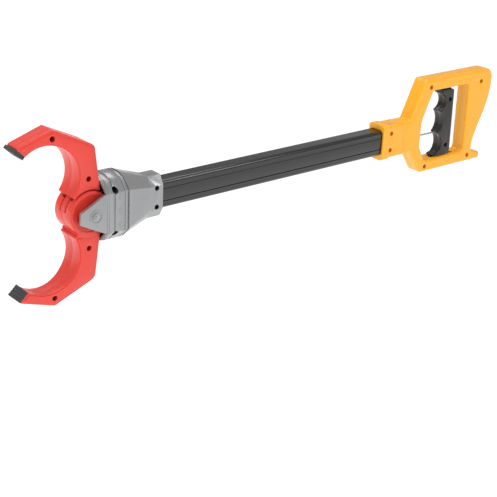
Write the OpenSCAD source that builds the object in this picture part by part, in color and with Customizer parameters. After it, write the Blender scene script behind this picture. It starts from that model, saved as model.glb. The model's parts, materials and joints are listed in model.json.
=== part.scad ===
// Reacher grabber: two curved claws on one pivot, pulled shut by a rod from a trigger in a D-handle.
// The shapes are drawn with the claw pivot at X = 0, Z = 0: +X runs along the tube to the handle,
// -Y is the near side and +Z is up. Each node is then moved so that the hand grip is the origin.

/* [Claws] */
// Radius of the hollow that each claw curves around
claw_arc_r = 28.7; // [27.7:0.1:29.2]
// Half the thickness of the claws at the hub
claw_half_t = 11.6; // [11:0.1:11.8]
// Angle by which each claw turns to close
close_angle = 43; // [43]
// Angle at which the outer part of a claw's side narrows
claw_taper = 6; // [4:0.5:7]
// Thickness of the rubber pads
pad_t = 3.2; // [2.6:0.1:3.6]
// Wall thickness of the claw shells
claw_wall = 2.2; // [1.8:0.1:2.4]

/* [Hub] */
// Radius of the lower claw's two hub discs
disc_r = 18.9; // [18.7:0.1:19.1]
// Radius of the pivot pin
pivot_r = 2.5; // [2.2:0.1:2.8]
// Distance from the pivot to each drive pin
lever_r = 12.5; // [12.3:0.1:12.6]

/* [Head] */
// Half the width of the head at its front section
head_half_w = 20.7; // [20.3:0.1:21.5]
// Wall thickness of the head shells
head_wall = 2.4; // [2:0.1:2.6]

/* [Tube] */
// Half the thickness of the tube
tube_half_w = 8.4; // [8:0.1:8.4]
// Half the height of the tube
tube_half_h = 12.3; // [12:0.1:12.3]
// Wall thickness of the tube
tube_wall = 1.6; // [1.2:0.1:2]

/* [Handle] */
// Half the thickness of the handle
handle_half_w = 8.5; // [8.3:0.1:8.9]
// Wall thickness of the handle shells
handle_wall = 2.4; // [2:0.1:2.6]
// Half the thickness of the trigger
trigger_half_w = 5.6; // [5.4:0.1:6]
// Depth of the trigger's middle finger groove
groove_depth = 4.4; // [3.8:0.1:5]
// Radius of the pull rod
rod_r = 0.8; // [0.7:0.1:1]

/* [Hidden] */
$fn = 64;
grip = [466, 0, 8];
gap = 0.3;
fit = 0.05;

// hub: the upper claw's tongue turns between the lower claw's two discs
slot_half = 4.5;
tongue_half = 4.2;
tongue_r = 16.8;
web_in_r = 17.2;
body_gap_r = 20.2;
core_r = 8;
neck_angles = [50, 84];
disc_neck_angles = [50, 127];
floor_angles = [68, 127];
web_angles = [125, 186];
skin_angles = [125, 229];
skin_half = 2.9;
pocket_angles = [-140, -15];
tongue_pocket = 1.8;
disc_pocket = 7.4;
disc_half = claw_half_t + 0.5;
disc_rim_r = disc_r - 0.6;
disc_face_depth = 1.8;
disc_face_r = 15.6;
disc_step_r = 12.6;
boss_r = 6;

// drive pins, and the travel that turns the claws by close_angle
drive_pin_r = 1.25;
rest_lever_angle = -90 - close_angle / 2;
lever_x = lever_r * cos(rest_lever_angle);
lever_z = lever_r * sin(rest_lever_angle);
travel = -2 * lever_x;

// claw outline: the tip's two corners are placed where they meet the other claw when closed
pad_face = 0.25;
tip_z = pad_face + pad_t;
tip_inner = turn([-79.4, tip_z], -close_angle);
tip_outer = turn([-90.9, tip_z], -close_angle);
pad_span = [-90.3, -79.7];
pad_half_w = 7.8;
arc_centre = [-38.5, 34];
ridge = [-32, 74.5];
shoulder = [4.6, 57];
heel = [9.65, 17.7];
upper_lips = [[-14.1, 14.5], [-15.8, 16.6]];
lower_lips = [[-13, 17.2], [-14.4, 18.9]];
arc_middle = [-40, 42];
claw_rounds = [0.8, 1.5, 2, 6, 0.6, 0.4, 0.4, 0];
claw_screws = [[-1.4, 29.8], [-32.5, 67.4]];
claw_boss_y = [-9.4, -7];
band_w = 2.4;
band_d = 0.7;
fold_at = 50;
fold_direction = 125;

// head
ear_half_w = 20;
ear_t = 3;
ear_rear_x = 12;
near_ear_tip_x = -13.8;
far_ear_tip_x = -9;
head_front_x = 9.8;
head_loft_x = 31.4;
head_block_x = 59;
head_end_x = 72;
rod_z = -4.5;
seat_x = 56;
tube_start_x = 60;
tube_end_x = 352;
front_quarter = [[head_half_w, 17], [11.5, 26], [5, 28.4]];
rear_quarter = [[10.9, 10.2], [6.2, 18.4]];
head_front_screws = [[18.6, 18.6], [18.6, -18.6]];
head_rear_screws = [[65.8, 8.4], [65.8, -8.4]];

// slider
finger_half_h = 3;
finger_mid_z = -(lever_r - lever_z) / 2;
finger_tip_x = lever_x - 2.45;
slot_half_w = drive_pin_r + 0.08;
slot_half_h = (lever_r + lever_z) / 2 + slot_half_w;
slider_x = [20.2, 33];
slider_half = [7.4, 15.2];
rail_x = [16, 45];

// handle
collar_x = [332.5, 363];
collar_half = [9.5, 16.6];
mouth_x = 341;
arm_x = tube_end_x + 0.5;
front_arm_foot = [371.3, 16.6];
top_z = 54.6;
base_z = -41;
opening_points = [[387.6, -13.5], [387.6, 13], [400.2, 42], [452.4, 42], [454.2, -29], [396.5, -29]];
opening_rounds = [9, 14, 1.5, 3.5, 3.5, 6];
handle_screw_at = [[395.6, 46.5], [469.7, 42.6], [460.7, -34.4], [397.2, -35.2]];
collar_screw_at = [[344, 8.4], [344, -8.4]];

// trigger: its tenons slide in slots in the handle's top and base
trigger_front_x = 416.7;
trigger_z = [-28.6, 40];
trigger_points = [[trigger_front_x, trigger_z[0]], [trigger_front_x, trigger_z[1]],
    [432.9, trigger_z[1]], [435.1, trigger_z[0]]];
trigger_rounds = [0.6, 0.6, 3.5, 5];
trigger_wall = 2;
hook_points = [[413.4, trigger_z[0]], [413, -27.6], [416.9, -26.4], [421, -25.5], [421, trigger_z[0]]];
// each finger groove's middle height, half its height, and how much deeper than the middle one it is
finger_grooves_at = [[-16.3, 11.5, 1.1], [6.6, 11.4, 0], [27.1, 9.1, 2.2]];
crest = 0.3;
tenon_x = [418, 430];
tenon_z = [-34, 47];
tenon_half_w = 3.6;
slot_x = [409.5, 442.5];
slot_z = [-35.5, 48.5];
trigger_screw_at = [[428.5, 29.3], [428.6, -18.5]];
anchor_x = 427;
anchor_half = 4;

function turn(p, a) = [p[0] * cos(a) - p[1] * sin(a), p[0] * sin(a) + p[1] * cos(a)];
function unit(v) = v / norm(v);
function right_of(v) = [v[1], -v[0]];

// corner b of a clockwise outline, moved inwards by t from the edges a-b and b-c
function moved_corner(a, b, c, t) =
    let (m = right_of(unit(b - a)), n = right_of(unit(c - b)))
    b + t * (m + n) / (1 + m * n);
function inset(points, t) =
    let (last = len(points) - 1)
    [for (i = [0:last]) moved_corner(points[i == 0 ? last : i - 1], points[i], points[i == last ? 0 : i + 1], t)];

// a corner as an arc of radius r, in steps
function corner_arc(a, b, c, r, steps) =
    let (u = unit(a - b), v = unit(c - b), half = acos(max(-1, min(1, u * v))) / 2,
        reach = r / tan(half), middle = b + unit(u + v) * r / sin(half),
        from = b + u * reach - middle, to = b + v * reach - middle,
        swing = atan2(from[0] * to[1] - from[1] * to[0], from * to))
    [for (k = [0:steps]) middle + turn(from, swing * k / steps)];
function is_convex(a, b, c) = (b[0] - a[0]) * (c[1] - b[1]) < (b[1] - a[1]) * (c[0] - b[0]);

// a clockwise outline moved inwards by t, its corners rounded (a radius of 0 leaves a plain corner)
function outline(points, radii, t, steps = 6) =
    let (last = len(points) - 1, moved = inset(points, t))
    [for (i = [0:last])
        let (a = moved[i == 0 ? last : i - 1], b = moved[i], c = moved[i == last ? 0 : i + 1],
            r = is_convex(a, b, c) ? max(0.3, radii[i] - t) : radii[i] + t)
        each radii[i] > 0 ? corner_arc(a, b, c, r, steps) : [b]];

// a cubic curve through a, towards b and c, to d
function curve(a, b, c, d, steps) =
    [for (k = [0:steps]) let (t = k / steps, s = 1 - t)
        s * s * s * a + 3 * s * s * t * b + 3 * s * t * t * c + t * t * t * d];

// the four mirrored quarters of a head section, clockwise
function full_section(quarter) =
    let (n = len(quarter) - 1)
    concat([for (i = [0:n]) [-quarter[i][0], quarter[i][1]]],
        [for (i = [n:-1:0]) quarter[i]],
        [for (i = [0:n]) [quarter[i][0], -quarter[i][1]]],
        [for (i = [n:-1:0]) [-quarter[i][0], -quarter[i][1]]]);

module placed() {
    translate(-grip) children();
}

// a flat outline in X and Z, thickened from y0 to y1
module slab(y0, y1) {
    translate([0, y1, 0])
        rotate([90, 0, 0])
            linear_extrude(y1 - y0)
                children();
}

// a section in Y and Z, drawn out from x0 to x1
module bar(x0, x1) {
    translate([x0, 0, 0])
        rotate([90, 0, 90])
            linear_extrude(x1 - x0)
                children();
}

module cross_cylinder(at, y0, y1, r) {
    slab(y0, y1)
        translate(at)
            circle(r);
}

module ring_sector(r0, r1, angles) {
    reach = 2 * r1;
    middle = (angles[0] + angles[1]) / 2;
    intersection() {
        difference() {
            circle(r1);
            circle(r0);
        }
        polygon([[0, 0], reach * [cos(angles[0]), sin(angles[0])], reach * [cos(middle), sin(middle)],
            reach * [cos(angles[1]), sin(angles[1])]]);
    }
}

// a pan-head screw whose head rests at y_seat and whose thread ends at y_end
module screw(at, y_seat, y_end, head_r = 2.1, shank_r = 1.25, head_t = 1.9) {
    difference() {
        union() {
            cross_cylinder(at, y_seat - head_t, y_seat, head_r);
            cross_cylinder(at, y_seat - 0.2, y_end, shank_r);
        }
        for (a = [0, 90])
            translate([at[0], y_seat - head_t, at[1]])
                rotate([0, a + 20, 0])
                    cube([2.6, 1.6, 0.7], center = true);
    }
}

// a near-side screw boss's recess and clearance hole
module near_hole(at, y_face, y_seat, recess_r = 2.3) {
    cross_cylinder(at, y_face - 1, y_seat, recess_r);
    cross_cylinder(at, y_seat - 1, 1, 1.5);
}

/* ---- claws ---- */

module claw_outline(lips, edge, arc) {
    points = [tip_inner, tip_outer, ridge, shoulder, heel, lips[0], lips[1], arc_middle];
    difference() {
        polygon(outline(points, claw_rounds, edge));
        translate(arc_centre)
            circle(claw_arc_r + arc, $fn = 128);
        circle(body_gap_r + arc, $fn = 128);
    }
}

// what the sloping outer part of the near side cuts away, sunk by depth
module fold_cut(depth) {
    rotate([0, -fold_direction, 0])
        translate([fold_at, -claw_half_t + depth, 0])
            rotate([0, 0, claw_taper])
                translate([-5, -20, -100])
                    cube([90, 20, 200]);
}

module claw_layer(lips, edge, arc, depth) {
    difference() {
        slab(-claw_half_t + depth, 0)
            claw_outline(lips, edge, arc);
        fold_cut(depth);
    }
}

// the near half of a claw above the pivot, without its hub
module claw_half(near, lips) {
    difference() {
        union() {
            difference() {
                union() {
                    claw_layer(lips, 0, 0, band_d);
                    claw_layer(lips, band_w, 0.9, 0);
                }
                claw_layer(lips, claw_wall, claw_wall, claw_wall + band_d);
            }
            for (k = [0, 1])
                cross_cylinder(claw_screws[k], claw_boss_y[k], 0, 3.5);
        }
        for (at = claw_screws)
            if (near)
                near_hole(at, -claw_half_t, -3.5);
            else
                cross_cylinder(at, -6, 1, 1.3);
    }
}

// sector that a slider finger sweeps beside the hub's core
module finger_pocket(y0, y1) {
    slab(y0, y1)
        ring_sector(core_r, disc_r + 1, pocket_angles);
}

module upper_half(near) {
    difference() {
        union() {
            claw_half(near, upper_lips);
            slab(-tongue_half, 0)
                circle(tongue_r);
            slab(-tongue_half, -skin_half - gap)
                ring_sector(tongue_r - 2, body_gap_r + claw_wall, neck_angles);
        }
        finger_pocket(-tongue_pocket, 1);
        cross_cylinder([0, 0], -30, 1, pivot_r + fit);
        cross_cylinder([lever_x, lever_z], -30, 1, drive_pin_r + 0.02);
    }
}

// drawn above the pivot like the upper claw, and mirrored downwards when placed
module lower_half(near) {
    boss_end = -ear_half_w + ear_t + 0.2;
    difference() {
        union() {
            claw_half(near, lower_lips);
            slab(-disc_half + 0.5, -slot_half)
                circle(disc_r, $fn = 96);
            slab(-disc_half, -slot_half - 1)
                circle(disc_rim_r, $fn = 96);
            slab(-claw_half_t, -slot_half)
                ring_sector(disc_r - 1, body_gap_r + 0.8, disc_neck_angles);
            slab(-slot_half - 0.5, 0)
                ring_sector(web_in_r, body_gap_r + 0.8, floor_angles);
            slab(-slot_half - 0.5, 0)
                ring_sector(web_in_r, disc_r, web_angles);
            slab(-skin_half, 0)
                ring_sector(web_in_r, disc_r, skin_angles);
        }
        slab(-disc_half - 1, -disc_half + disc_face_depth / 2)
            circle(disc_face_r, $fn = 96);
        slab(-disc_half - 1, -disc_half + disc_face_depth)
            circle(disc_step_r, $fn = 96);
        finger_pocket(-disc_pocket, -slot_half + 1);
        cross_cylinder([0, 0], -30, 1, pivot_r + fit);
        cross_cylinder([lever_x, lever_z], -disc_pocket - 1.5, 1, drive_pin_r + 0.02);
    }
    difference() {
        cross_cylinder([0, 0], boss_end, -disc_half + disc_face_depth, boss_r);
        cross_cylinder([0, 0], -30, 1, pivot_r + fit);
    }
}

module claw_pad() {
    ribs = 4;
    step = (pad_span[1] - pad_span[0]) / ribs;
    rotate([0, close_angle, 0])
        difference() {
            slab(-pad_half_w, pad_half_w)
                translate([pad_span[0], pad_face])
                    square([pad_span[1] - pad_span[0], pad_t]);
            for (k = [1:ribs - 1])
                slab(-pad_half_w - 1, pad_half_w + 1)
                    translate([pad_span[0] + k * step, pad_face])
                        circle(0.35, $fn = 16);
        }
}

module downwards() {
    mirror([0, 0, 1]) children();
}

module far_side() {
    mirror([0, 1, 0]) children();
}

module upper_claw_near_shell() {
    color("tomato") placed() upper_half(true);
}

module upper_claw_far_shell() {
    color("tomato") placed() far_side() upper_half(false);
}

module lower_claw_near_shell() {
    color("orangered") placed() downwards() lower_half(true);
}

module lower_claw_far_shell() {
    color("orangered") placed() downwards() far_side() lower_half(false);
}

module claw_screw_pair() {
    for (at = claw_screws)
        screw(at, -3.5, 5.5);
}

module upper_claw_screws() {
    color("dimgray") placed() claw_screw_pair();
}

module lower_claw_screws() {
    color("dimgray") placed() downwards() claw_screw_pair();
}

module upper_claw_pad() {
    color("#202020") placed() claw_pad();
}

module lower_claw_pad() {
    color("#202020") placed() downwards() claw_pad();
}

module upper_drive_pin() {
    color("silver") placed()
        cross_cylinder([lever_x, lever_z], -tongue_half + 0.1, tongue_half - 0.1, drive_pin_r);
}

module lower_drive_pins() {
    color("silver") placed() downwards()
        for (side = [0, 1])
            mirror([0, side, 0])
                cross_cylinder([lever_x, lever_z], -disc_pocket - 1.4, -slot_half - 0.1, drive_pin_r);
}

/* ---- head ---- */

module head_section(quarter, t) {
    polygon(inset(full_section(quarter), t));
}

// the head behind its front section, shrunk by t
module head_loft(t) {
    hull() {
        bar(head_loft_x, head_loft_x + 0.01)
            head_section(front_quarter, t + 0.5);
        bar(head_block_x, head_block_x + 0.01)
            head_section(rear_quarter, t);
    }
}

// the whole head's outer shape, shrunk by t, from x0 back
module head_envelope(t, x0) {
    bar(x0, head_loft_x + 0.01)
        head_section(front_quarter, t);
    head_loft(t);
    bar(head_block_x, head_end_x)
        head_section(rear_quarter, t);
}

// a groove round the outside of the front section
module head_groove(x0, x1, depth) {
    difference() {
        bar(x0, x1)
            head_section(front_quarter, -1);
        bar(x0 - 1, x1 + 1)
            head_section(front_quarter, depth);
    }
}

module tube_outline(grow) {
    r = 3.5 + grow;
    w = tube_half_w + grow;
    h = tube_half_h + grow;
    square([2 * (w - r), 2 * h], center = true);
    square([2 * w, 2 * (h - r)], center = true);
    for (y = [-1, 1], z = [-1, 1])
        translate([y * (w - r), z * (h - r)])
            circle(r);
}

module head_ear(tip_x) {
    difference() {
        union() {
            slab(-ear_half_w, -ear_half_w + ear_t)
                polygon([[tip_x, -5], [8.6, -16.4], [ear_rear_x, -16.4], [ear_rear_x, 16.4], [8.6, 16.4],
                    [tip_x, 5]]);
            slab(-ear_half_w - 0.4, -ear_half_w + 1)
                difference() {
                    circle(5.9);
                    circle(4.9);
                }
            slab(-ear_half_w - 0.4, -ear_half_w + 1)
                circle(3.9);
        }
        cross_cylinder([0, 0], -30, 0, pivot_r + fit);
    }
}

// three small raised chevrons on the near face of the head's front band
module band_marks() {
    for (z = [-12, 0, 12])
        slab(-head_half_w - 0.25, -head_half_w + 1)
            translate([22.2, z])
                polygon([[-0.9, 1.8], [0.9, 3], [0.9, 1.6], [-0.3, 0], [0.9, -1.6], [0.9, -3], [-0.9, -1.8]]);
}

// the pull rod's way through, with clearance round the rod
module rod_way(x, length, clearance) {
    translate([x, 0, rod_z])
        rotate([0, 90, 0])
            cylinder(r = rod_r + clearance, h = length);
}

module head_half(near) {
    head_ear(near ? near_ear_tip_x : far_ear_tip_x);
    difference() {
        union() {
            difference() {
                head_envelope(0, head_front_x);
                bar(head_front_x - 1, head_loft_x + 0.01)
                    head_section(front_quarter, head_wall);
                intersection() {
                    head_loft(head_wall);
                    translate([0, -30, -30])
                        cube([seat_x, 60, 60]);
                }
                bar(head_front_x - 1, head_front_x + 1)
                    difference() {
                        head_section(front_quarter, -2);
                        head_section(front_quarter, 0.7);
                    }
                bar(head_front_x + 0.9, head_front_x + 2.6)
                    difference() {
                        head_section(front_quarter, -2);
                        head_section(front_quarter, 0.35);
                    }
                head_groove(17, 17.9, 0.7);
                head_groove(27, 27.6, 0.5);
                head_groove(29.6, 31.4, 1.2);
            }
            intersection() {
                head_envelope(1, head_front_x + 1);
                union() {
                    for (z = [slider_half[1] + gap, -slider_half[1] - gap - 1.5])
                        translate([rail_x[0], -30, z])
                            cube([rail_x[1] - rail_x[0], 27, 1.5]);
                    for (at = head_front_screws)
                        cross_cylinder(at, -30, 0, 3.4);
                }
            }
            band_marks();
        }
        rod_way(0, 100, 0.3);
        bar(tube_start_x, head_end_x + 1)
            tube_outline(0.05);
        for (at = head_front_screws)
            if (near)
                near_hole(at, -30, -5, 2.6);
            else
                cross_cylinder(at, -9, 1, 1.3);
        translate([-50, 0, -50])
            cube([200, 50, 100]);
    }
    difference() {
        for (at = head_rear_screws)
            cross_cylinder(at, -10.4, 0, 2.9);
        for (at = head_rear_screws)
            if (near)
                near_hole(at, -30, -3.5, 2.2);
            else
                cross_cylinder(at, -7, 1, 1.3);
        rod_way(head_end_x - 20, 30, 0.3);
    }
}

// the rear screws' recesses go through the block's wall too
module rear_recesses() {
    for (at = head_rear_screws)
        near_hole(at, -30, -3.5, 2.2);
}

module head_near_shell() {
    color("silver") placed()
        difference() {
            head_half(true);
            rear_recesses();
        }
}

module head_far_shell() {
    color("silver") placed() far_side() head_half(false);
}

module head_screws() {
    color("dimgray") placed() {
        for (at = head_front_screws)
            screw(at, -5, 8.5, 2.3);
        for (at = head_rear_screws)
            screw(at, -3.5, 6.5, 2.0);
    }
}

// stepped steel pin: its rounded end shows in the near ear
module pivot_pin() {
    head_y = -ear_half_w - 0.4;
    color("lightgray") placed() {
        cross_cylinder([0, 0], head_y - 0.2, ear_half_w + 2.4, pivot_r);
        cross_cylinder([0, 0], head_y - 0.7, head_y, pivot_r + 0.3);
        cross_cylinder([0, 0], head_y - 1.1, head_y, 1.2);
    }
}

module pivot_cap() {
    color("lightgray") placed()
        difference() {
            union() {
                cross_cylinder([0, 0], ear_half_w + 0.4, ear_half_w + 1.6, 5.6);
                cross_cylinder([0, 0], ear_half_w + 1.5, ear_half_w + 3.4, 3.8);
            }
            cross_cylinder([0, 0], ear_half_w, ear_half_w + 2.5, pivot_r);
        }
}

/* ---- pull train ---- */

module finger_profile() {
    difference() {
        union() {
            translate([finger_tip_x + 1.2, finger_mid_z - finger_half_h])
                square([slider_x[0] - finger_tip_x, 2 * finger_half_h]);
            for (z = [-1, 1])
                translate([finger_tip_x + 1.2, finger_mid_z + z * (finger_half_h - 1.2)])
                    circle(1.2);
            translate([finger_tip_x, finger_mid_z - finger_half_h + 1.2])
                square([2, 2 * finger_half_h - 2.4]);
        }
        translate([lever_x - slot_half_w, finger_mid_z - slot_half_h + slot_half_w])
            square([2 * slot_half_w, 2 * (slot_half_h - slot_half_w)]);
        for (z = [-1, 1])
            translate([lever_x, finger_mid_z + z * (slot_half_h - slot_half_w)])
                circle(slot_half_w);
    }
}

// one finger below the pivot drives the upper claw, two above it drive the lower claw
module slider() {
    color("lightslategray") placed()
        difference() {
            union() {
                translate([slider_x[0], -slider_half[0], -slider_half[1]])
                    cube([slider_x[1] - slider_x[0], 2 * slider_half[0], 2 * slider_half[1]]);
                slab(-tongue_pocket + gap, tongue_pocket - gap)
                    finger_profile();
                for (side = [0, 1])
                    mirror([0, side, 0])
                        slab(-disc_pocket + gap, -slot_half - gap)
                            mirror([0, 1])
                                finger_profile();
            }
            translate([0, 0, rod_z])
                rotate([0, 90, 0])
                    cylinder(r = rod_r + 0.02, h = 60);
            for (z = [4, -14.2])
                translate([slider_x[0] + 3, -slider_half[0] - 1, z])
                    cube([slider_x[1] - slider_x[0] - 6, slider_half[0] - 1, z > 0 ? 9 : 4.5]);
            for (z = [4, -14.2])
                translate([slider_x[0] + 3, 2, z])
                    cube([slider_x[1] - slider_x[0] - 6, slider_half[0] - 1, z > 0 ? 9 : 4.5]);
        }
}

module pull_rod() {
    color("gainsboro") placed()
        translate([slider_x[0] - 3, 0, rod_z])
            rotate([0, 90, 0])
                cylinder(r = rod_r, h = anchor_x + 1.5 - slider_x[0] + 3);
}

// crimped on the rod in front of the slider, and again behind it under the spring
module rod_collar() {
    color("silver") placed()
        translate([slider_x[0] - 2.6, 0, rod_z])
            rotate([0, 90, 0])
                difference() {
                    cylinder(r = 2.4, h = 2.5);
                    translate([0, 0, -1])
                        cylinder(r = rod_r + 0.02, h = 5);
                }
}

// compression spring round the rod, as a ring section swept along a helix
module return_spring() {
    coil_r = 3.9;
    wire_r = 0.55;
    x0 = slider_x[1] + wire_r + 0.15;
    x1 = seat_x - wire_r - 0.15;
    turns = 8;
    steps = 16;
    sides = 8;
    rings = turns * steps;
    slope = atan2((x1 - x0) / turns, 2 * PI * coil_r);
    points = [for (k = [0:rings])
        let (a = 360 * k / steps, c = [x0 + (x1 - x0) * k / rings, coil_r * cos(a), coil_r * sin(a)])
        for (s = [0:sides - 1])
            let (b = 360 * s / sides, u = wire_r * cos(b), v = wire_r * sin(b))
            c + [v * cos(slope), u * cos(a) + v * sin(slope) * sin(a), u * sin(a) - v * sin(slope) * cos(a)]];
    faces = concat(
        [for (k = [0:rings - 1], s = [0:sides - 1])
            let (a = k * sides, t = (s + 1) % sides)
            [a + s, a + sides + s, a + sides + t, a + t]],
        [[for (s = [0:sides - 1]) s]],
        [[for (s = [sides - 1:-1:0]) rings * sides + s]]);
    color("silver") placed()
        translate([0, 0, rod_z])
            polyhedron(points, faces, convexity = 8);
}

/* ---- tube ---- */

module tube() {
    groove_z = 5.5;
    color("#1c1c1e") placed()
        difference() {
            bar(tube_start_x + 0.1, tube_end_x - 0.1)
                difference() {
                    tube_outline(0);
                    tube_outline(-tube_wall);
                    for (y = [-1, 1], z = [-groove_z, groove_z])
                        translate([y * tube_half_w, z])
                            square([1.3, 1], center = true);
                }
            for (at = concat(head_rear_screws, collar_screw_at))
                cross_cylinder(at, -20, 20, 3.05);
        }
}

module rod_guides() {
    color("dimgray") placed()
        for (x = [150, 260])
            difference() {
                bar(x, x + 6)
                    tube_outline(-tube_wall - 0.05);
                translate([x - 1, 0, rod_z])
                    rotate([0, 90, 0])
                        cylinder(r = rod_r + 0.1, h = 10);
                bar(x + 1.5, x + 7)
                    translate([-4, 0])
                        square([8, 7]);
            }
}

/* ---- handle ---- */

// the handle's outline: its front arm, top, rear edge, foot, base and leg
function handle_points() = concat(
    [[391, base_z], [374.5, -front_arm_foot[1]], [arm_x, -front_arm_foot[1]],
        [arm_x, front_arm_foot[1]], front_arm_foot, [388.4, top_z], [486.9, top_z]],
    curve([486.8, 42], [487.5, 16], [472, -1], [467, -22], 12),
    [[467, -29.6], [480.8, -34.6], [480, base_z]]);
function handle_rounds() = concat([5, 2, 0, 0, 2, 5, 10], [for (k = [0:12]) 0], [2.5, 3, 3]);

module opening_outline(grow) {
    polygon(outline(opening_points, opening_rounds, -grow));
}

module handle_outline(t) {
    difference() {
        polygon(outline(handle_points(), handle_rounds(), t));
        opening_outline(t);
    }
}

module collar_outline(grow) {
    w = collar_half[0] + grow;
    h = collar_half[1] + grow;
    r = 3;
    square([2 * (w - r), 2 * h], center = true);
    square([2 * w, 2 * (h - r)], center = true);
    for (y = [-1, 1], z = [-1, 1])
        translate([y * (w - r), z * (h - r)])
            circle(r);
}

module handle_half(near) {
    wall_x = tube_end_x + 0.1;
    difference() {
        union() {
            difference() {
                slab(-handle_half_w, 0)
                    handle_outline(0);
                slab(-handle_half_w + handle_wall, 1)
                    difference() {
                        handle_outline(handle_wall);
                        translate([300, -50])
                            square([wall_x + 2 - 300, 150]);
                    }
            }
            bar(collar_x[0], mouth_x)
                collar_outline(0.7);
            bar(mouth_x - 0.1, collar_x[1] - 3)
                collar_outline(0);
            for (at = handle_screw_at)
                cross_cylinder(at, -handle_half_w + 1, 0, 3.5);
        }
        bar(collar_x[0] - 1, wall_x)
            tube_outline(0.05);
        bar(wall_x + 2, collar_x[1])
            square([12, 24], center = true);
        rod_way(collar_x[0], 70, 0.4);
        for (z = [slot_z[0], slot_z[1] - 8.5])
            translate([slot_x[0], -tenon_half_w - 0.35, z])
                cube([slot_x[1] - slot_x[0], tenon_half_w + 1, 8.5]);
        for (at = handle_screw_at)
            if (near)
                near_hole(at, -handle_half_w, -3.5);
            else
                cross_cylinder(at, -7, 1, 1.3);
        if (near)
            for (at = collar_screw_at)
                cross_cylinder(at, -20, -8, 2.2);
        translate([300, 0, -100])
            cube([200, 50, 200]);
    }
    difference() {
        for (at = collar_screw_at)
            cross_cylinder(at, -collar_half[0] + 0.4, 0, 2.9);
        for (at = collar_screw_at)
            if (near)
                near_hole(at, -12, -3.5, 2.2);
            else
                cross_cylinder(at, -7, 1, 1.3);
        rod_way(collar_x[0], 30, 0.4);
    }
}

module handle_near_shell() {
    color("orange") placed() handle_half(true);
}

module handle_far_shell() {
    color("orange") placed() far_side() handle_half(false);
}

module handle_screws() {
    color("dimgray") placed() {
        for (at = handle_screw_at)
            screw(at, -3.5, 6.5);
        for (at = collar_screw_at)
            screw(at, -3.5, 6.5, 2.0);
    }
}

/* ---- trigger ---- */

// the grooves' arcs meet in front of the trigger's face, which leaves a narrow flat crest between them
module finger_grooves(t) {
    for (g = finger_grooves_at) {
        depth = groove_depth + g[2];
        r = (pow(g[1], 2) + pow(depth + crest, 2)) / (2 * (depth + crest));
        translate([trigger_front_x + depth - r, g[0]])
            circle(r + t, $fn = 96);
    }
}

module trigger_outline(t) {
    difference() {
        polygon(outline(trigger_points, trigger_rounds, t));
        finger_grooves(t);
    }
}

module trigger_half(near) {
    difference() {
        union() {
            difference() {
                slab(-trigger_half_w, 0) {
                    trigger_outline(0);
                    polygon(hook_points);
                }
                slab(-trigger_half_w + trigger_wall, 1)
                    trigger_outline(trigger_wall);
            }
            for (z = [[tenon_z[0], trigger_z[0] + 1], [trigger_z[1] - 1, tenon_z[1]]])
                slab(-tenon_half_w, 0)
                    translate([tenon_x[0], z[0]])
                        square([tenon_x[1] - tenon_x[0], z[1] - z[0]]);
            for (at = trigger_screw_at)
                cross_cylinder(at, -trigger_half_w + 1, 0, 3.2);
            intersection() {
                slab(-trigger_half_w + 1, 0)
                    trigger_outline(1);
                translate([anchor_x - 6, -trigger_half_w, rod_z - 4.2])
                    cube([12, trigger_half_w, 8.4]);
            }
        }
        rod_way(trigger_front_x - 10, anchor_x - trigger_front_x + 8, 0.1);
        cross_cylinder([anchor_x, rod_z], -anchor_half - 0.05, 1, 2.55);
        for (at = trigger_screw_at)
            if (near)
                near_hole(at, -trigger_half_w, -3, 2.2);
            else
                cross_cylinder(at, -4.5, 1, 1.3);
    }
}

module trigger_near_shell() {
    color("#3a3a3e") placed() trigger_half(true);
}

module trigger_far_shell() {
    color("#3a3a3e") placed() far_side() trigger_half(false);
}

module trigger_screws() {
    color("dimgray") placed()
        for (at = trigger_screw_at)
            screw(at, -3, 4, 2);
}

// barrel in the trigger that the rod's end is fixed in
module rod_anchor() {
    color("silver") placed()
        difference() {
            cross_cylinder([anchor_x, rod_z], -anchor_half, anchor_half, 2.5);
            translate([anchor_x - 5, 0, rod_z])
                rotate([0, 90, 0])
                    cylinder(r = rod_r + 0.02, h = 6.55);
        }
}

head_near_shell();
head_far_shell();
head_screws();
pivot_pin();
pivot_cap();
upper_claw_near_shell();
upper_claw_far_shell();
upper_claw_screws();
upper_claw_pad();
upper_drive_pin();
lower_claw_near_shell();
lower_claw_far_shell();
lower_claw_screws();
lower_claw_pad();
lower_drive_pins();
slider();
pull_rod();
rod_collar();
return_spring();
tube();
rod_guides();
handle_near_shell();
handle_far_shell();
handle_screws();
trigger_near_shell();
trigger_far_shell();
trigger_screws();
rod_anchor();
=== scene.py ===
"""Looks of the reacher grabber: moulded shells, rubber pads, an anodised tube and steel parts."""
import json
import math

import bmesh
import bpy
from mathutils import Matrix, Vector


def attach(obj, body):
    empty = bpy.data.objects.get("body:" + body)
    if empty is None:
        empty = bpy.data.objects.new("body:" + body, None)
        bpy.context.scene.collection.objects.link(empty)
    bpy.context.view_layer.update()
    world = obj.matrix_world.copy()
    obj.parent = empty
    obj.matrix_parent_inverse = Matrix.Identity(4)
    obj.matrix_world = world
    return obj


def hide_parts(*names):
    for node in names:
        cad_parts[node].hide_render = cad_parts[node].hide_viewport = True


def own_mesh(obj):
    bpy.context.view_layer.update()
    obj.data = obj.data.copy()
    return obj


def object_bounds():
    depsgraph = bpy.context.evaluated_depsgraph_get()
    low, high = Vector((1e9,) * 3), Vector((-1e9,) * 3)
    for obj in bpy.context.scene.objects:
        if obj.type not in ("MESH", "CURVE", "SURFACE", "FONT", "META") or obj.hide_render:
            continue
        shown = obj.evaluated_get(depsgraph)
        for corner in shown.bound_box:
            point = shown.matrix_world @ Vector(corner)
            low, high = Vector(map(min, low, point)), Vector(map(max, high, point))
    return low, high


MM = 0.001

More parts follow.
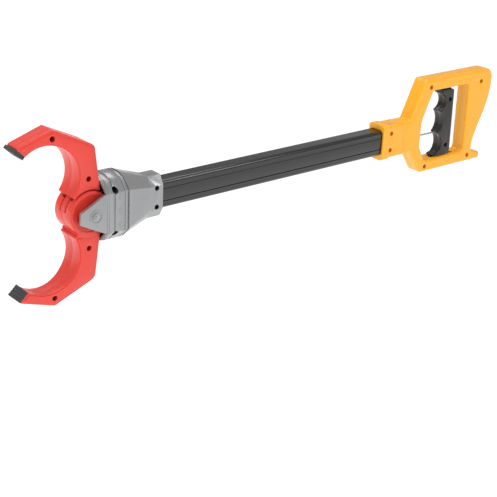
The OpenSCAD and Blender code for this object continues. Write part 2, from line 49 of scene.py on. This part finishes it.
# cleaning of the CAD meshes
WELD = 0.002 * MM                   # vertices closer than this are one
FLAT_ANGLE = math.radians(0.4)      # faces that meet flatter than this are merged
FOLD_LEAST = math.radians(2)        # a fold between these two angles keeps a crisp line,
SHARP_ANGLE = math.radians(28)      # and an edge sharper than the second is rounded
FOLD_FACE = 30 * MM * MM            # the smallest face whose folds stay crisp

# the handle's outline edges
HANDLE_HALF = 8.5 * MM              # its flat sides lie this far from the middle plane
SIDE_TOLERANCE = 0.01 * MM
CORNER_LEAST = math.radians(60)
CORNER_MOST = math.radians(120)
HANDLE_FILLET = 2.6 * MM
SCREW_KEEP_OUT = 3 * MM             # no fillet this near a screw's axis

# where painted shade goes: the walls of the screw recesses in the near shells
RECESS_REACH = 2.75 * MM            # from a screw's axis to just past the recess's wall
RECESS_Y = -2 * MM                  # recess walls lie on the near side of this plane

# the most that ordinary edges may be rounded; with overlap clamping on, the width that is reached
# is only about 0.005 to 0.05 mm
HEAD_ROUNDING = 0.2 * MM
SHELL_ROUNDING = 0.3 * MM
PAD_ROUNDING = 0.5 * MM
TUBE_ROUNDING = 0.2 * MM

FLOOR_HALF = 14                     # half the floor's side, in metres
FLOOR_DROP = 0.45                   # metres from the object's lowest point to the floor

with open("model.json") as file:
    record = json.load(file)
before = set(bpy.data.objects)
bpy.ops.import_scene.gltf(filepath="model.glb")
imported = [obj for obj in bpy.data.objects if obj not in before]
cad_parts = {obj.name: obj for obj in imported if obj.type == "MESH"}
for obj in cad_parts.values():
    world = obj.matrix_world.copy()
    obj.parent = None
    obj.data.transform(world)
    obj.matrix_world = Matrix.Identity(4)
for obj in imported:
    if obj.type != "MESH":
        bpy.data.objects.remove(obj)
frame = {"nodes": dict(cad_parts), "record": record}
cad_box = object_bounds()
nodes = frame["nodes"]
body_of = {n: b for b, members in frame["record"]["behaviour"]["bodies"].items() for n in members}
slot_of = {s["node"]: s["material_slot"] for s in frame["record"]["subparts"]}


# ---------------------------------------------------------------- materials

def tree_of(name):
    """A new material, its node tree and its main shader."""
    material = bpy.data.materials.new(name)
    material.use_nodes = True
    tree = material.node_tree
    return material, tree, tree.nodes["Principled BSDF"]


def noise(tree, scale, detail=3.0, roughness=0.5, stretch=(1, 1, 1)):
    """Noise fixed to the object, with a finer pattern for a larger scale."""
    place = tree.nodes.new("ShaderNodeTexCoord")
    fit = tree.nodes.new("ShaderNodeMapping")
    fit.inputs["Scale"].default_value = stretch
    tex = tree.nodes.new("ShaderNodeTexNoise")
    tex.inputs["Scale"].default_value = scale
    tex.inputs["Detail"].default_value = detail
    tex.inputs["Roughness"].default_value = roughness
    tree.links.new(place.outputs["Object"], fit.inputs["Vector"])
    tree.links.new(fit.outputs["Vector"], tex.inputs["Vector"])
    return tex.outputs["Fac"]


def ramp(tree, source, low, high, start=0.3, end=0.7):
    """Source between start and end, stretched to run from low to high."""
    node = tree.nodes.new("ShaderNodeMapRange")
    node.inputs["From Min"].default_value = start
    node.inputs["From Max"].default_value = end
    node.inputs["To Min"].default_value = low
    node.inputs["To Max"].default_value = high
    tree.links.new(source, node.inputs["Value"])
    return node.outputs["Result"]


def blend_colours(tree, factor, a, b):
    """Colour a where factor is 0 and b where it is 1."""
    node = tree.nodes.new("ShaderNodeMix")
    node.data_type = "RGBA"
    colour_a, colour_b = [i for i in node.inputs if i.type == "RGBA"]
    colour_a.default_value = (*a, 1)
    colour_b.default_value = (*b, 1)
    tree.links.new(factor, node.inputs["Factor"])
    return next(o for o in node.outputs if o.type == "RGBA")


def bump(tree, shader, height, strength, distance):
    """Raises the surface by up to distance metres where height is 1, for shading only."""
    node = tree.nodes.new("ShaderNodeBump")
    node.inputs["Strength"].default_value = strength
    node.inputs["Distance"].default_value = distance
    tree.links.new(height, node.inputs["Height"])
    tree.links.new(node.outputs["Normal"], shader.inputs["Normal"])


def moulded(name, colour, dark, rough, glow=0.0, glow_radius=(1, 1, 1), metal=0.0, shine=0.5):
    """Moulded plastic: faint flow marks in the colour, uneven gloss and a fine texture."""
    material, tree, shader = tree_of(name)
    cloud = ramp(tree, noise(tree, 40, 3), 0, 1, 0.35, 0.7)
    tree.links.new(blend_colours(tree, cloud, colour, dark), shader.inputs["Base Color"])
    tree.links.new(ramp(tree, noise(tree, 90, 4), rough - 0.03, rough + 0.04), shader.inputs["Roughness"])
    shader.inputs["IOR"].default_value = 1.5
    shader.inputs["Specular IOR Level"].default_value = shine
    shader.inputs["Metallic"].default_value = metal
    if glow:
        shader.inputs["Subsurface Weight"].default_value = glow
        shader.inputs["Subsurface Radius"].default_value = glow_radius
        shader.inputs["Subsurface Scale"].default_value = 3 * MM
    bump(tree, shader, noise(tree, 1100, 2), 0.1, 0.03 * MM)
    return material


def rubber(name, colour, dark):
    """Matte black rubber with a faint sheen."""
    material, tree, shader = tree_of(name)
    cloud = ramp(tree, noise(tree, 300, 4), 0, 1)
    tree.links.new(blend_colours(tree, cloud, colour, dark), shader.inputs["Base Color"])
    tree.links.new(ramp(tree, noise(tree, 500, 4), 0.55, 0.8), shader.inputs["Roughness"])
    shader.inputs["Sheen Weight"].default_value = 0.15
    bump(tree, shader, noise(tree, 2200, 3), 0.3, 0.1 * MM)
    return material


def anodised(name, colour, dark):
    """Drawn and anodised aluminium: satin, with fine lines along the tube."""
    material, tree, shader = tree_of(name)
    lines = noise(tree, 900, 3, 0.6, (0.02, 1, 1))
    tree.links.new(blend_colours(tree, ramp(tree, lines, 0, 1), colour, dark), shader.inputs["Base Color"])
    tree.links.new(ramp(tree, lines, 0.18, 0.28), shader.inputs["Roughness"])
    shader.inputs["Specular IOR Level"].default_value = 0.72    # a dark dielectric, not a metal
    bump(tree, shader, lines, 0.08, 0.04 * MM)
    return material


def steel(name, colour, dark, rough=0.25):
    """Plated or blackened steel with uneven gloss."""
    material, tree, shader = tree_of(name)
    lines = noise(tree, 1400, 3, 0.6)
    tree.links.new(blend_colours(tree, ramp(tree, lines, 0, 1), colour, dark), shader.inputs["Base Color"])
    shader.inputs["Metallic"].default_value = 1.0
    tree.links.new(ramp(tree, lines, rough - 0.08, rough + 0.1), shader.inputs["Roughness"])
    bump(tree, shader, lines, 0.1, 0.04 * MM)
    return material


look = {
    "claw_plastic": moulded("claw_plastic", (0.76, 0.056, 0.038), (0.74, 0.050, 0.034), 0.3,
                            glow=0.12, glow_radius=(1, 0.12, 0.08)),
    "head_plastic": moulded("head_plastic", (0.34, 0.345, 0.35), (0.325, 0.33, 0.335), 0.28,
                            metal=0.6),
    "handle_plastic": moulded("handle_plastic", (0.96, 0.43, 0.020), (0.95, 0.42, 0.017), 0.25,
                              glow=0.1, glow_radius=(1, 0.5, 0.1)),
    "trigger_plastic": moulded("trigger_plastic", (0.026, 0.023, 0.022), (0.020, 0.018, 0.017), 0.2,
                               shine=0.4),
    "slider_plastic": moulded("slider_plastic", (0.10, 0.10, 0.11), (0.08, 0.08, 0.09), 0.45),
    "pad_rubber": rubber("pad_rubber", (0.034, 0.034, 0.036), (0.026, 0.026, 0.028)),
    "tube_aluminium": anodised("tube_aluminium", (0.012, 0.012, 0.0125), (0.008, 0.008, 0.0085)),
    "steel": steel("steel", (0.62, 0.63, 0.64), (0.5, 0.51, 0.52)),
}
pin_steel = steel("pin_steel", (0.42, 0.425, 0.43), (0.34, 0.345, 0.35), 0.36)
# painted shade: the handle screws get a warm dark brown so their holes read as shaded orange recesses
screw_steel_painted_warm_shade = steel("screw_steel_painted_warm_shade", (0.10, 0.05, 0.02), (0.07, 0.035, 0.015), 0.5)
# blackened screws, made near black also as painted shade, so the deep screw holes read dark
screw_steel_blackened_and_shaded = steel("screw_steel_blackened_and_painted_shade", (0.012, 0.012, 0.012), (0.006, 0.006, 0.006), 0.5)
# painted shade: darker copies of each plastic for the walls of the deep screw recesses, where shade falls
recess_painted_shade_look = {
    "claw_plastic": moulded("claw_recess_painted_shade", (0.46, 0.016, 0.010), (0.40, 0.013, 0.008), 0.6),
    "head_plastic": moulded("head_recess_painted_shade", (0.010, 0.010, 0.010), (0.006, 0.006, 0.006), 0.6),
    "handle_plastic": moulded("handle_recess_painted_shade", (0.84, 0.25, 0.008), (0.80, 0.23, 0.007), 0.6),
    "trigger_plastic": moulded("trigger_recess_painted_shade", (0.003, 0.003, 0.003), (0.002, 0.002, 0.002), 0.6),
}


def paint(obj, material):
    obj.data.materials.clear()
    obj.data.materials.append(material)


# ---------------------------------------------------------------- shapes

def clean_mesh(work):
    """Merges the triangles of each flat CAD face into one face."""
    bmesh.ops.remove_doubles(work, verts=work.verts, dist=WELD)
    bmesh.ops.dissolve_limit(work, angle_limit=FLAT_ANGLE, verts=work.verts, edges=work.edges)


def keep_folds(work):
    """Marks shallow folds between large flat faces as sharp, so that each keeps its own shade."""
    for edge in work.edges:
        faces = edge.link_faces
        if len(faces) == 2 and min(f.calc_area() for f in faces) > FOLD_FACE:
            if FOLD_LEAST < edge.calc_face_angle(0) < SHARP_ANGLE:
                edge.smooth = False


def near_any(point, places, reach):
    """Whether a point lies within reach of one of these places, in X and Z."""
    return any(math.hypot(point.x - x, point.z - z) < reach for x, z in places)


def fillet_handle(work):
    """Rounds the outline edges of the handle's flat side, but not the screw recesses in it."""
    spared = screw_places("handle_screws")
    chosen = []
    for edge in work.edges:
        if len(edge.link_faces) != 2 or not edge.is_convex:
            continue
        if any(abs(abs(v.co.y) - HANDLE_HALF) > SIDE_TOLERANCE for v in edge.verts):
            continue
        square = CORNER_LEAST < edge.calc_face_angle(0) < CORNER_MOST
        middle = (edge.verts[0].co + edge.verts[1].co) / 2
        if square and not near_any(middle, spared, SCREW_KEEP_OUT):
            chosen.append(edge)
    bmesh.ops.bevel(work, geom=chosen, offset=HANDLE_FILLET, offset_type="OFFSET", segments=6,
                    profile=0.5, affect="EDGES", clamp_overlap=False)


def paint_shade_in_recesses(work, places):
    """Paints shade on the walls of the screw recesses in a near shell: they get the second material slot,
    a darker copy of the plastic.
    """
    for face in work.faces:
        middle = face.calc_center_median()
        is_wall = middle.y < RECESS_Y and abs(face.normal.y) < 0.5
        if is_wall and near_any(middle, places, RECESS_REACH):
            face.material_index = 1


def rounded_copy(node, width, shape=None):
    """A copy of a CAD node with clean faces and at most width of rounding, standing for that node."""
    name = node + "_rounded"
    mesh = bpy.data.meshes.new(name)
    mesh.materials.append(look[slot_of[node]])
    work = bmesh.new()
    work.from_mesh(nodes[node].data)
    clean_mesh(work)
    for face in work.faces:
        face.smooth = True
    if shape:
        shape(work)
    if "near_shell" in node:
        # the second slot is a painted-shade copy of the plastic for the recess walls
        mesh.materials.append(recess_painted_shade_look[slot_of[node]])
        paint_shade_in_recesses(work, screw_places(node.replace("near_shell", "screws")))
    work.to_mesh(mesh)
    work.free()
    piece = bpy.data.objects.new(name, mesh)
    bpy.context.scene.collection.objects.link(piece)
    rounding = piece.modifiers.new("rounding", "BEVEL")
    rounding.width = width
    rounding.segments = 3
    rounding.limit_method = "ANGLE"
    rounding.angle_limit = SHARP_ANGLE
    rounding.harden_normals = True
    rounding.use_clamp_overlap = True
    rounding.miter_outer = "MITER_ARC"
    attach(piece, body_of[node])
    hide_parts(node)


def screw_places(node):
    """Centres in X and Z of a node's separate screws, from its loose parts."""
    work = bmesh.new()
    work.from_mesh(nodes[node].data)
    bmesh.ops.remove_doubles(work, verts=work.verts, dist=WELD)
    found = []
    left = set(work.verts)
    while left:
        part = [left.pop()]
        for v in part:
            for edge in v.link_edges:
                other = edge.other_vert(v)
                if other in left:
                    left.discard(other)
                    part.append(other)
        xs = [v.co.x for v in part]
        zs = [v.co.z for v in part]
        found.append(((min(xs) + max(xs)) / 2, (min(zs) + max(zs)) / 2))
    work.free()
    return found


def look_of(node):
    """The material of a CAD node, with the screws and pins set apart from the other steel."""
    if node == "handle_screws":
        # painted shade: the warm dark tint of the handle screws
        return screw_steel_painted_warm_shade
    if "screws" in node:
        # blackened screws, darkened further as painted shade in their holes
        return screw_steel_blackened_and_shaded
    if "pivot" in node:
        return pin_steel
    return look[slot_of[node]]


def shape_of(node):
    """What else is done to a shell's copy before its edges are rounded."""
    if node.startswith("handle"):
        return fillet_handle
    if "claw" in node:
        return keep_folds
    return None


for name, obj in nodes.items():
    paint(obj, look_of(name))

for name in nodes:
    if "shell" in name:
        rounding_width = HEAD_ROUNDING if name.startswith("head") else SHELL_ROUNDING
        rounded_copy(name, rounding_width, shape_of(name))
rounded_copy("upper_claw_pad", PAD_ROUNDING)
rounded_copy("lower_claw_pad", PAD_ROUNDING)
rounded_copy("tube", TUBE_ROUNDING)

# the spring is a smooth-shaded copy, attached to the frame body
coil = nodes["return_spring"].copy()
coil.data = nodes["return_spring"].data.copy()
coil.name = "return_spring_coil"
coil.parent = None
for key in [k for k in coil.keys() if k.startswith("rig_")]:
    del coil[key]
bpy.context.scene.collection.objects.link(coil)
for face in coil.data.polygons:
    face.use_smooth = True
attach(coil, "frame")
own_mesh(coil)
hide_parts("return_spring")

# ---------------------------------------------------------------- stage

low, high = cad_box
floor_mesh = bpy.data.meshes.new("floor")
floor_work = bmesh.new()
bmesh.ops.create_grid(floor_work, x_segments=8, y_segments=8, size=FLOOR_HALF)
floor_work.to_mesh(floor_mesh)
floor_work.free()
floor = bpy.data.objects.new("floor", floor_mesh)
floor.location = (0, 0, low.z - FLOOR_DROP)
bpy.context.scene.collection.objects.link(floor)
floor_look, _, floor_shader = tree_of("pale_floor")
floor_shader.inputs["Base Color"].default_value = (0.4, 0.4, 0.4, 1)
floor_shader.inputs["Roughness"].default_value = 0.9
floor_shader.inputs["Emission Color"].default_value = (1, 1, 1, 1)
floor_shader.inputs["Emission Strength"].default_value = 0.85
paint(floor, floor_look)

world = bpy.data.worlds.new("studio")
world.use_nodes = True
world.node_tree.nodes["Background"].inputs["Color"].default_value = (1, 1, 1, 1)
world.node_tree.nodes["Background"].inputs["Strength"].default_value = 0.42
bpy.context.scene.world = world
bpy.context.scene.view_settings.view_transform = "Standard"


def soft_light(name, at, aim, size, power):
    """A rectangular lamp of that size in metres and power in watts, pointed from at to aim."""
    lamp = bpy.data.lights.new(name, "AREA")
    lamp.shape = "RECTANGLE"
    lamp.size, lamp.size_y = size
    lamp.energy = power
    obj = bpy.data.objects.new(name, lamp)
    obj.location = at
    obj.rotation_euler = (Vector(aim) - Vector(at)).to_track_quat("-Z", "Y").to_euler()
    bpy.context.scene.collection.objects.link(obj)


middle = (low + high) / 2
hub = Vector((-0.47, 0, 0))
head = Vector((-0.40, 0, 0))
soft_light("top_light", middle + Vector((-0.1, 0.3, 1.2)), middle, (1.6, 1.0), 11)
soft_light("front_light", middle + Vector((-0.5, -1.4, 0.7)), middle, (0.8, 0.6), 5.5)
soft_light("edge_light", Vector((0.25, -0.82, 0.59)), head, (0.45, 0.45), 2.5)
soft_light("left_light", Vector((-1.55, -0.35, 0.15)), hub, (0.7, 0.9), 4)

# ---------------------------------------------------------------- camera

eye = Vector((-0.976, -0.805, 0.365))
right = Vector((0.7718, -0.6343, 0.0453)).normalized()
up = Vector((0.2160, 0.3285, 0.9195))
back = right.cross(up).normalized()
up = back.cross(right)
lens = bpy.data.cameras.new("camera")
lens.sensor_width = 36
lens.lens = 91
lens.clip_start = 0.01
camera = bpy.data.objects.new("camera", lens)
camera.matrix_world = Matrix((
    (right.x, up.x, back.x, eye.x),
    (right.y, up.y, back.y, eye.y),
    (right.z, up.z, back.z, eye.z),
    (0, 0, 0, 1)))
bpy.context.scene.collection.objects.link(camera)
bpy.context.scene.camera = camera
